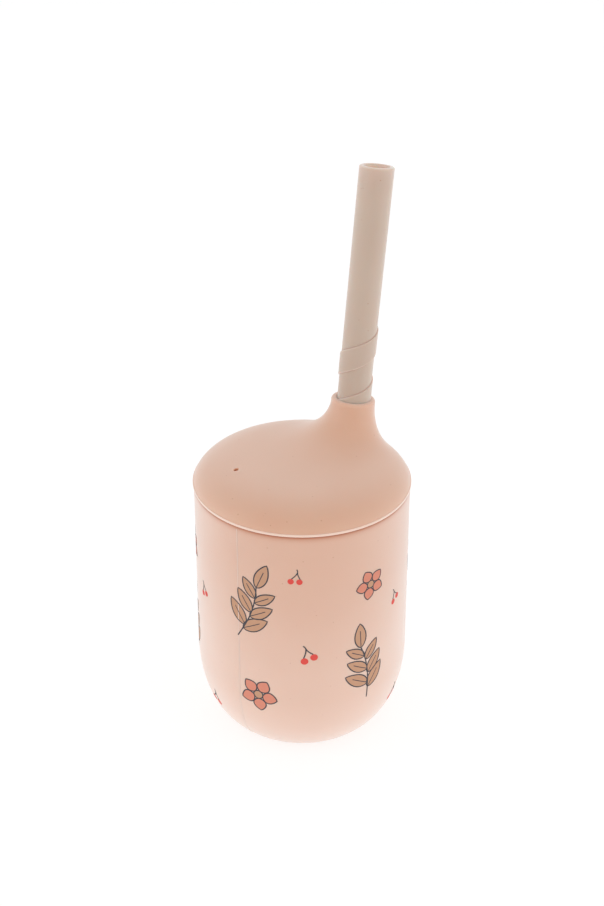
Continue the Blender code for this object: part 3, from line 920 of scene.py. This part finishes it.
def banded_tube_tree():
    """A tube's outer wall in rows that climb with its band, joined to the ends and bore given to it."""
    tree = bpy.data.node_groups.new("banded_tube", "GeometryNodeTree")
    tree.interface.new_socket("Ends And Bore", in_out="INPUT", socket_type="NodeSocketGeometry")
    lengths = ("Radius", "Shoulder", "Low", "Raise", "Width", "Pitch", "Top", "Edge", "Crease", "Weld")
    turns = ("Turns", "Start", "Fade")
    for socket_name in lengths + turns:
        tree.interface.new_socket(socket_name, in_out="INPUT", socket_type="NodeSocketFloat")
    for socket_name in ("Steps", "Rows In Pitch"):
        tree.interface.new_socket(socket_name, in_out="INPUT", socket_type="NodeSocketInt")
    tree.interface.new_socket("Material", in_out="INPUT", socket_type="NodeSocketMaterial")
    tree.interface.new_socket("Geometry", in_out="OUTPUT", socket_type="NodeSocketGeometry")
    given = add_node(tree, "NodeGroupInput").outputs
    spot = add_node(tree, "GeometryNodeInputPosition")
    spot = add_node(tree, "ShaderNodeSeparateXYZ", None, {0: spot.outputs[0]}).outputs
    known = {socket.name: socket for socket in given}
    known["grid x"] = spot["X"]
    known["grid y"] = spot["Y"]
    sums = (
        ("low drop", "SUBTRACT", "Top", "Low"),
        ("windings to low", "DIVIDE", "low drop", "Pitch"),
        ("windings below", "CEIL", "windings to low"),
        ("high rise", "SUBTRACT", "Shoulder", "Top"),
        ("windings to high", "DIVIDE", "high rise", "Pitch"),
        ("whole windings", "CEIL", "windings to high"),
        ("windings above", "ADD", "whole windings", 1.0),
        ("windings", "ADD", "windings below", "windings above"),
        ("half windings", "MULTIPLY", "windings", 0.5),
        ("rows", "MULTIPLY", "windings", "Rows In Pitch"),
        ("row points", "ADD", "rows", 1.0),
        ("round points", "ADD", "Steps", 1.0),
        ("turned", "ADD", "grid x", math.pi),
        ("climbed", "ADD", "grid y", "half windings"),
        ("below top", "SUBTRACT", "windings below", "climbed"),
        ("winding", "FLOOR", "below top"),
        ("row share", "SUBTRACT", "below top", "winding"),
        ("two edges", "MULTIPLY", "Edge", 2.0),
        ("two creases", "MULTIPLY", "Crease", 2.0),
        ("within edges", "SUBTRACT", "Width", "two edges"),
        ("flat", "SUBTRACT", "within edges", "two creases"),
        ("between bands", "SUBTRACT", "Pitch", "Width"),
        ("gap", "SUBTRACT", "between bands", "two creases"),
        ("winding drop", "MULTIPLY", "winding", "Pitch"),
        ("winding turn", "MULTIPLY", "winding", 2 * math.pi),
        ("wound", "ADD", "turned", "winding turn"),
        ("whole turn", "MULTIPLY", "Turns", 2 * math.pi),
        ("to far end", "SUBTRACT", "whole turn", "wound"),
        ("turned share", "DIVIDE", "turned", 2 * math.pi),
        ("fall", "MULTIPLY", "turned share", "Pitch"),
        ("angle", "SUBTRACT", "Start", "turned"),
        ("cosine", "COSINE", "angle"),
        ("sine", "SINE", "angle"),
    )
    stretches = ("Edge", "Crease", "flat", "Crease", "Edge", "Crease", "gap", "Crease")
    after_stretch = (
        ("to far edge", "SUBTRACT", "Width", "across"),
        ("whole drop", "ADD", "winding drop", "across"),
        ("row height", "SUBTRACT", "Top", "whole drop"),
        ("free height", "SUBTRACT", "row height", "fall"),
        ("above low", "MAXIMUM", "free height", "Low"),
        ("height", "MINIMUM", "above low", "Shoulder"),
    )
    after_rise = (
        ("band", "MULTIPLY", "rise across", "rise to far edge"),
        ("band ends", "MULTIPLY", "rise wound", "rise to far end"),
        ("band share", "MULTIPLY", "band", "band ends"),
        ("raised", "MULTIPLY", "band share", "Raise"),
        ("radius", "ADD", "Radius", "raised"),
        ("x", "MULTIPLY", "radius", "cosine"),
        ("y", "MULTIPLY", "radius", "sine"),
    )
    rises = (("across", "Edge"), ("to far edge", "Edge"), ("wound", "Fade"), ("to far end", "Fade"))
    for stage in (sums, after_stretch, after_rise):
        for sum_name, operation, *terms in stage:
            settings = {k: term for k, term in enumerate(terms) if not isinstance(term, str)}
            links = {k: known[term] for k, term in enumerate(terms) if isinstance(term, str)}
            settings["operation"] = operation
            known[sum_name] = add_node(tree, "ShaderNodeMath", settings, links).outputs[0]
        for k, length in enumerate(stretches if stage is sums else ()):
            settings = {"From Min": k / len(stretches), "From Max": (k + 1) / len(stretches)}
            links = {"Value": known["row share"], "To Max": known[length]}
            stretch = add_node(tree, "ShaderNodeMapRange", settings, links).outputs[0]
            total = {0: known["across"], 1: stretch} if k else {0: stretch}
            across = add_node(tree, "ShaderNodeMath", {"operation": "ADD", 1: 0.0}, total)
            known["across"] = across.outputs[0]
        for value, reach in rises if stage is after_stretch else ():
            links = {"Value": known[value], "From Max": known[reach]}
            rise = add_node(tree, "ShaderNodeMapRange", {"interpolation_type": "SMOOTHSTEP"}, links)
            known["rise " + value] = rise.outputs[0]
    grid = add_node(
        tree,
        "GeometryNodeMeshGrid",
        {"Size X": 2 * math.pi},
        {
            "Size Y": known["windings"],
            "Vertices X": known["round points"],
            "Vertices Y": known["row points"],
        },
    )
    place = add_node(
        tree, "ShaderNodeCombineXYZ", None, {"X": known["x"], "Y": known["y"], "Z": known["height"]}
    )
    wall = add_node(
        tree,
        "GeometryNodeSetPosition",
        None,
        {"Geometry": grid.outputs["Mesh"], "Position": place.outputs[0]},
    )
    outward = add_node(tree, "GeometryNodeFlipFaces", None, {0: wall.outputs[0]})
    whole = add_node(tree, "GeometryNodeJoinGeometry", None, {0: outward.outputs[0]})
    tree.links.new(given["Ends And Bore"], whole.inputs[0])
    closed = add_node(
        tree,
        "GeometryNodeMergeByDistance",
        None,
        {"Geometry": whole.outputs[0], "Distance": given["Weld"]},
    )
    real = add_node(tree, "GeometryNodeRealizeInstances", None, {0: closed.outputs[0]})
    finished = add_node(
        tree,
        "GeometryNodeSetMaterial",
        None,
        {"Geometry": real.outputs[0], "Material": given["Material"]},
    )
    add_node(tree, "NodeGroupOutput", None, {0: finished.outputs[0]})
    return tree


shoulder = STRAW_TOP - STRAW_END_ROUND
end_fillet = (STRAW_END_ROUND, STRAW_END_ROUND)
bore_section = arc((STRAW_RADIUS - STRAW_END_ROUND, shoulder), end_fillet, 0.0, 90.0, FILLET_STEPS)
bore_section += arc((STRAW_MOUTH + STRAW_END_ROUND, shoulder), end_fillet, 90.0, 180.0, FILLET_STEPS)
bore_section += [(STRAW_BORE, shoulder - MOUTH_DEPTH), (STRAW_BORE, STRAW_LOW), (STRAW_RADIUS, STRAW_LOW)]
bore_rings = [turned_ring(radius, height, STRAW_STEPS, BAND_START) for radius, height in bore_section]
straw_silicone = cast_silicone(
    "cast_silicone_greige", STRAW_GREIGE, STRAW_GREIGE_DEEP, roughness=0.5, sheen=0.6, glow=0.5
)
straw_values = {
    "Radius": STRAW_RADIUS,
    "Shoulder": shoulder,
    "Low": STRAW_LOW,
    "Raise": BAND_RAISE,
    "Width": BAND_WIDTH,
    "Pitch": BAND_PITCH,
    "Turns": BAND_TURNS,
    "Top": BAND_TOP,
    "Start": BAND_START,
    "Fade": BAND_FADE,
    "Edge": BAND_EDGE,
    "Crease": BAND_CREASE,
    "Weld": WELD,
    "Steps": STRAW_STEPS,
    "Rows In Pitch": ROWS_IN_PITCH,
    "Material": straw_silicone,
}
straw_ends = skin("straw_ends", bore_rings, closed=False)
straw_mesh = evaluate_tree("straw_banded", straw_ends, banded_tube_tree(), straw_values)
tidy_straw = bmesh.new()
tidy_straw.from_mesh(straw_mesh)
bmesh.ops.dissolve_degenerate(tidy_straw, edges=tidy_straw.edges, dist=WELD)
bmesh.ops.recalc_face_normals(tidy_straw, faces=tidy_straw.faces)
tidy_straw.to_mesh(straw_mesh)
tidy_straw.free()


def from_crease(at, edge):
    """How far along the straw a point of its outside lies below an edge of the band."""
    turned = (BAND_START - math.atan2(at.y, at.x)) % (2 * math.pi)
    below = BAND_TOP - edge - at.z - BAND_PITCH * turned / (2 * math.pi)
    wound = turned + 2 * math.pi * math.floor((below + BAND_PITCH / 2) / BAND_PITCH)
    on_wall = math.hypot(at.x, at.y) > STRAW_RADIUS - BAND_EDGE
    on_band = on_wall and -BAND_FADE < wound < 2 * math.pi * BAND_TURNS
    return (below + BAND_PITCH / 2) % BAND_PITCH - BAND_PITCH / 2 if on_band else BAND_PITCH


def straw_painted_shade(at):
    """Painted shade in the fine creases at the foot of the band's edges."""
    upper = 1 - ramp(abs(from_crease(at, 0.0)), 0.0, BAND_CREASE)
    lower = 1 - ramp(abs(from_crease(at, BAND_WIDTH)), 0.0, BAND_CREASE)
    return CREASE_PAINTED_SHADE * max(upper, lower)


def in_mouth(at):
    """The bore near the drinking end, which takes a painted glow for the light that comes through the wall.
    """
    in_bore = ramp(math.hypot(at.x, at.y), STRAW_MOUTH + MOUTH_SKIN, STRAW_MOUTH)
    return in_bore * ramp(at.z, shoulder - MOUTH_DEPTH, shoulder)


def straw_painted_light(at):
    """Painted highlights on the crests of the band's edges and the rim of the drinking end, and a painted
    glow in the bore.
    """
    upper = 1 - ramp(abs(from_crease(at, BAND_EDGE)), 0.0, BAND_CREASE)
    lower = 1 - ramp(abs(from_crease(at, BAND_WIDTH - BAND_EDGE)), 0.0, BAND_CREASE)
    end = END_RIM_PAINTED_HIGHLIGHT * ramp(at.z, shoulder, STRAW_TOP)
    end += NEAR_END_PAINTED_LIGHT * ramp(at.z, STRAW_TOP - NEAR_END, STRAW_TOP)
    return max(UPPER_CREST_PAINTED_HIGHLIGHT * upper, LOWER_CREST_PAINTED_HIGHLIGHT * lower, end, MOUTH_PAINTED_GLOW * in_mouth(at))


# Painted shade in the band's creases.
paint_light_and_shade(straw_mesh, "deep", straw_painted_shade)
# Painted highlights on the crests and the drinking end, and a painted warm glow in the bore.
paint_light_and_shade(straw_mesh, "painted_light", straw_painted_light)
paint_light_and_shade(straw_mesh, "painted_warm_glow_and_shade", lambda at: MOUTH_PAINTED_WARM_GLOW * in_mouth(at))
straw_mesh.transform(Matrix.Translation(neck_mouth) @ lean.to_4x4())
straw = add_piece("straw_banded", straw_mesh)
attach(straw, "straw")
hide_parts("straw")

# Studio
# A white sweep in a tent of white cloth, as for a catalogue picture: the light comes mostly from round
# about and from the sweep, less from overhead. The sweep looks white and keeps the cup's faint shadow.
CAMERA_AT = Vector((-0.198, -0.198, 0.2516))
CAMERA_DOWN = math.radians(28.82)
CAMERA_TURN = math.radians(-45.0)
CAMERA_LENS = 40.01
SWEEP_SIZE = 6.0
SWEEP_WHITE = 0.7
SWEEP_SHADE = 0.38
SWEEP_BOUNCE = 0.65
POOL_GLOW = 0.74
POOL_START = 0.08
POOL_END = 0.35
CONTACT_START = 0.03
CONTACT_END = 0.055
CONTACT_GLOW = 0.65
SWEEP_GLOW = 0.4
HORIZON_LIGHT = 1.0
ZENITH_LIGHT = 0.66
DIM_HEADING = Vector((-0.35, -0.35, 0.87)).normalized()


def seen_ray(tree):
    """1 where the eye sees a surface, straight on, in a shine or through something clear, and else 0."""
    ray = add_node(tree, "ShaderNodeLightPath").outputs
    seen = ray["Is Camera Ray"]
    for kind in ("Is Glossy Ray", "Is Transmission Ray"):
        either = {0: seen, 1: ray[kind]}
        seen = add_node(tree, "ShaderNodeMath", {"operation": "MAXIMUM"}, either).outputs[0]
    return seen


sweep_work = bmesh.new()
bmesh.ops.create_grid(sweep_work, x_segments=8, y_segments=8, size=SWEEP_SIZE / 2)
sweep_mesh = bpy.data.meshes.new("sweep")
sweep_work.to_mesh(sweep_mesh)
sweep_work.free()

# White paper: a matte, even white without a horizon, which throws soft light up on the cup. Its bounce is
# brightest in a pool round the cup and dims under it, where the cup stands in its own shade.
paper = bpy.data.materials.new("white_paper")
paper.use_nodes = True
paper_tree = paper.node_tree
paper_tree.nodes.clear()
seen = seen_ray(paper_tree)
shade = add_node(
    paper_tree, "ShaderNodeMapRange", {"To Min": SWEEP_BOUNCE, "To Max": SWEEP_SHADE}, {"Value": seen}
)
place = add_node(paper_tree, "ShaderNodeTexCoord")
away = add_node(paper_tree, "ShaderNodeVectorMath", {"operation": "LENGTH"}, {0: place.outputs["Object"]})
pool = add_node(
    paper_tree,
    "ShaderNodeMapRange",
    {"From Min": POOL_START, "From Max": POOL_END, "To Min": POOL_GLOW, "To Max": SWEEP_GLOW},
    {"Value": away.outputs["Value"]},
)
contact = add_node(
    paper_tree,
    "ShaderNodeMapRange",
    {"From Min": CONTACT_START, "From Max": CONTACT_END, "To Min": CONTACT_GLOW},
    {"Value": away.outputs["Value"]},
)
bounce = add_node(
    paper_tree, "ShaderNodeMath", {"operation": "MULTIPLY"}, {0: pool.outputs[0], 1: contact.outputs[0]}
)
glow = add_node(
    paper_tree, "ShaderNodeMapRange", {"To Max": SWEEP_WHITE}, {"Value": seen, "To Min": bounce.outputs[0]}
)
paper_lit = add_node(paper_tree, "ShaderNodeBsdfDiffuse", None, {"Color": shade.outputs[0]})
paper_glow = add_node(paper_tree, "ShaderNodeEmission", None, {"Strength": glow.outputs[0]})
paper_both = add_node(
    paper_tree, "ShaderNodeAddShader", None, {0: paper_lit.outputs[0], 1: paper_glow.outputs[0]}
)
add_node(paper_tree, "ShaderNodeOutputMaterial", None, {"Surface": paper_both.outputs[0]})
sweep = add_piece("sweep", sweep_mesh, paper)

world = bpy.data.worlds.new("studio")
world.use_nodes = True
world_tree = world.node_tree
seen = seen_ray(world_tree)
heading = add_node(world_tree, "ShaderNodeTexCoord")
upward = add_node(
    world_tree,
    "ShaderNodeVectorMath",
    {"operation": "DOT_PRODUCT", 1: DIM_HEADING},
    {0: heading.outputs["Generated"]},
)
cloth = add_node(
    world_tree,
    "ShaderNodeMapRange",
    {"To Min": HORIZON_LIGHT, "To Max": ZENITH_LIGHT},
    {"Value": upward.outputs["Value"]},
)
strength = add_node(
    world_tree, "ShaderNodeMapRange", {"To Max": 1.0}, {"Value": seen, "To Min": cloth.outputs[0]}
)
background = world_tree.nodes["Background"]
background.inputs["Color"].default_value = (1.0, 1.0, 1.0, 1.0)
world_tree.links.new(strength.outputs[0], background.inputs["Strength"])
bpy.context.scene.world = world

# Each lamp has a name, a place, the side of its square in metres and its power in watts.
LAMPS = (
    ("left_lamp", (-0.9, 0.4, 0.4), 0.8, 1.5),
    ("right_lamp", (0.4, -0.9, 0.4), 0.8, 1.5),
)
for lamp_name, lamp_at, lamp_size, lamp_watts in LAMPS:
    lamp_data = bpy.data.lights.new(lamp_name, "AREA")
    lamp_data.shape = "SQUARE"
    lamp_data.size = lamp_size
    lamp_data.energy = lamp_watts
    lamp = bpy.data.objects.new(lamp_name, lamp_data)
    lamp.location = lamp_at
    aim = Vector((0.0, 0.0, CUP_HEIGHT)) - Vector(lamp_at)
    lamp.rotation_euler = aim.to_track_quat("-Z", "Y").to_euler()
    bpy.context.scene.collection.objects.link(lamp)

camera_data = bpy.data.cameras.new("camera")
camera_data.lens = CAMERA_LENS
camera_data.sensor_width = 36.0
camera = bpy.data.objects.new("camera", camera_data)
camera.location = CAMERA_AT
camera.rotation_euler = (math.pi / 2 - CAMERA_DOWN, 0.0, CAMERA_TURN)
bpy.context.scene.collection.objects.link(camera)
bpy.context.scene.camera = camera
bpy.context.scene.view_settings.view_transform = "Standard"
